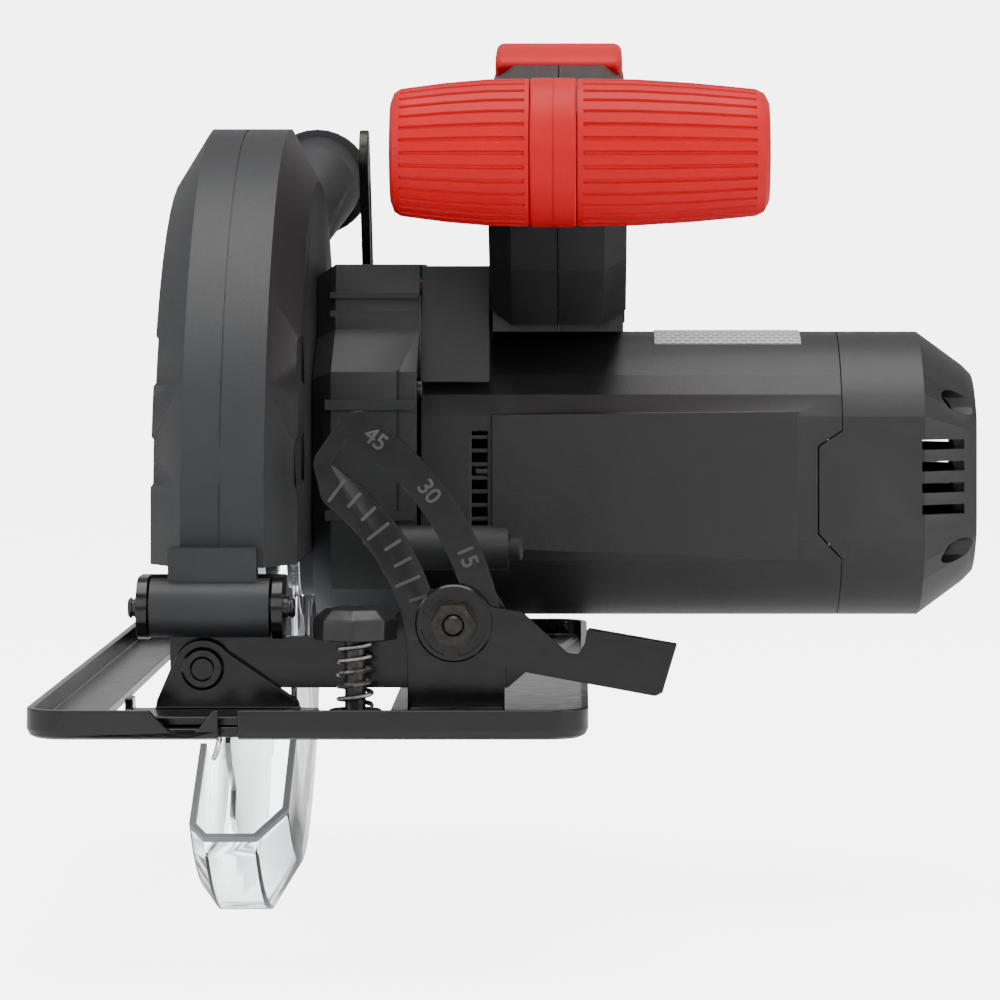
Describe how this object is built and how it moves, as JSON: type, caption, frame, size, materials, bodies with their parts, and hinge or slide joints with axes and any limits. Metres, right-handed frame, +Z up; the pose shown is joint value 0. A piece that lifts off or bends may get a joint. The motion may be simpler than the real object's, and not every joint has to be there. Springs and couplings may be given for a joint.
{
  "type": "circular saw",
  "caption": "Corded circular saw with a pressed steel base, tilt and depth adjustment, swinging clear lower guard and two handles.",
  "frame": {"origin": "on the base's flat underside, halfway along it and 45 mm right of its middle line", "axes": "+X towards the motor's end, +Y towards the rear of the saw, +Z up from the work"},
  "size_m": [0.291, 0.3495, 0.2847],
  "materials": {
    "black_enamel": "gloss",
    "zinc_steel": "satin",
    "blued_steel": "satin",
    "black_nylon": "matte",
    "dark_nylon": "matte",
    "red_rubber": "satin",
    "carbon": "matte",
    "core_steel": "satin",
    "copper_wire": "satin",
    "blade_steel": "satin",
    "clear_plastic": "gloss",
    "label_film": "satin"
  },
  "bodies": {
    "base": {"base_plate": "black_enamel", "front_pivot_bracket": "black_enamel", "rear_pivot_bracket": "black_enamel", "bevel_quadrant": "black_enamel", "front_bevel_pin": "black_enamel", "rear_bevel_pin": "black_enamel", "fence_screw_seat": "black_enamel", "fence_clamp_spring": "zinc_steel"},
    "fence_knob": {"fence_clamp_knob": "dark_nylon", "fence_clamp_screw": "zinc_steel"},
    "tilt_frame": {"front_tilt_bracket": "black_enamel", "rear_tilt_bracket": "black_enamel", "depth_guide": "zinc_steel", "depth_pivot_pin": "zinc_steel", "bevel_lock_bolt": "blued_steel", "bevel_lock_nut": "blued_steel"},
    "bevel_lever": {"bevel_lock_lever": "black_enamel"},
    "saw_body": {"upper_guard": "black_nylon", "dust_spout": "black_nylon", "gear_housing": "black_nylon", "gear_cover": "core_steel", "motor_housing": "black_nylon", "end_cap": "black_nylon", "end_cap_screw_1": "zinc_steel", "end_cap_screw_2": "zinc_steel", "end_cap_screw_3": "zinc_steel", "end_cap_screw_4": "zinc_steel", "label_plate": "label_film", "handle_left": "dark_nylon", "handle_right": "dark_nylon", "front_grip_left": "red_rubber", "grip_sleeve": "red_rubber", "front_grip_right": "red_rubber", "handle_top_pad": "red_rubber", "cord_gland": "carbon", "stator_core": "core_steel", "spindle_bearing": "zinc_steel", "spindle_end_bearing": "zinc_steel", "armature_bearing": "zinc_steel", "brush_front": "carbon", "brush_rear": "carbon", "switch_module": "carbon", "depth_lock_stud": "zinc_steel"},
    "depth_lever": {"depth_lock_lever": "dark_nylon"},
    "trigger": {"trigger": "dark_nylon"},
    "lock_off": {"lock_off_button": "carbon"},
    "spindle_lock": {"spindle_lock_button": "carbon"},
    "swing_guard": {"lower_guard": "clear_plastic", "guard_lever": "dark_nylon"},
    "spindle": {"spindle": "core_steel", "spindle_gear": "core_steel", "blade": "blade_steel", "inner_flange": "core_steel", "outer_flange": "core_steel", "blade_bolt": "zinc_steel"},
    "armature": {"armature_shaft": "core_steel", "pinion": "core_steel", "rotor_core": "copper_wire", "commutator": "copper_wire", "cooling_fan": "carbon"}
  },
  "joints": [
    {"name": "bevel_tilt", "type": "hinge", "parent": "base", "child": "tilt_frame", "pos_m": [-0.0775, 0, 0.0178], "axis": [0, -1, 0], "range_deg": [0, 45]},
    {"name": "bevel_lever_turn", "type": "hinge", "parent": "tilt_frame", "child": "bevel_lever", "pos_m": [-0.00285, -0.134, 0.0315], "axis": [0, -1, 0], "range_deg": [0, 40]},
    {"name": "depth_swing", "type": "hinge", "parent": "tilt_frame", "child": "saw_body", "pos_m": [-0.0746, -0.1398, 0.0363], "axis": [1, 0, 0], "range_deg": [-3, 28]},
    {"name": "depth_lever_turn", "type": "hinge", "parent": "saw_body", "child": "depth_lever", "pos_m": [-0.034, 0.08397, 0.05982], "axis": [1, 0, 0], "range_deg": [-45, 25]},
    {"name": "trigger_pull", "type": "hinge", "parent": "saw_body", "child": "trigger", "pos_m": [0.0275, 0.0925, 0.179], "axis": [-1, 0, 0], "range_deg": [0, 6], "stiffness_Nm_per_rad": 1, "springref_deg": -5.73},
    {"name": "lock_off_press", "type": "slide", "parent": "saw_body", "child": "lock_off", "axis": [1, 0, 0], "range_m": [0, 0.003], "stiffness_N_per_m": 400, "springref_m": -0.002},
    {"name": "spindle_lock_press", "type": "slide", "parent": "saw_body", "child": "spindle_lock", "axis": [-1, 0, 0], "range_m": [0, 0.004], "stiffness_N_per_m": 400, "springref_m": -0.002},
    {"name": "guard_swing", "type": "hinge", "parent": "saw_body", "child": "swing_guard", "pos_m": [-0.072, -0.008, 0.0517], "axis": [1, 0, 0], "range_deg": [0, 108], "stiffness_Nm_per_rad": 0.15, "springref_deg": -45.84},
    {"name": "spindle_spin", "type": "hinge", "parent": "saw_body", "child": "spindle", "pos_m": [-0.072, -0.008, 0.0517], "axis": [1, 0, 0], "continuous": true},
    {"name": "armature_spin", "type": "hinge", "parent": "saw_body", "child": "armature", "pos_m": [0.015, 0.02104, 0.0689], "axis": [1, 0, 0], "continuous": true},
    {"name": "fence_knob_turn", "type": "hinge", "parent": "base", "child": "fence_knob", "pos_m": [-0.0315, -0.1472, 0.027], "axis": [0, 0, 1], "continuous": true}
  ],
  "couplings": [
    {"joint": "armature_spin", "follows": "spindle_spin", "ratio": -4.4}
  ]
}
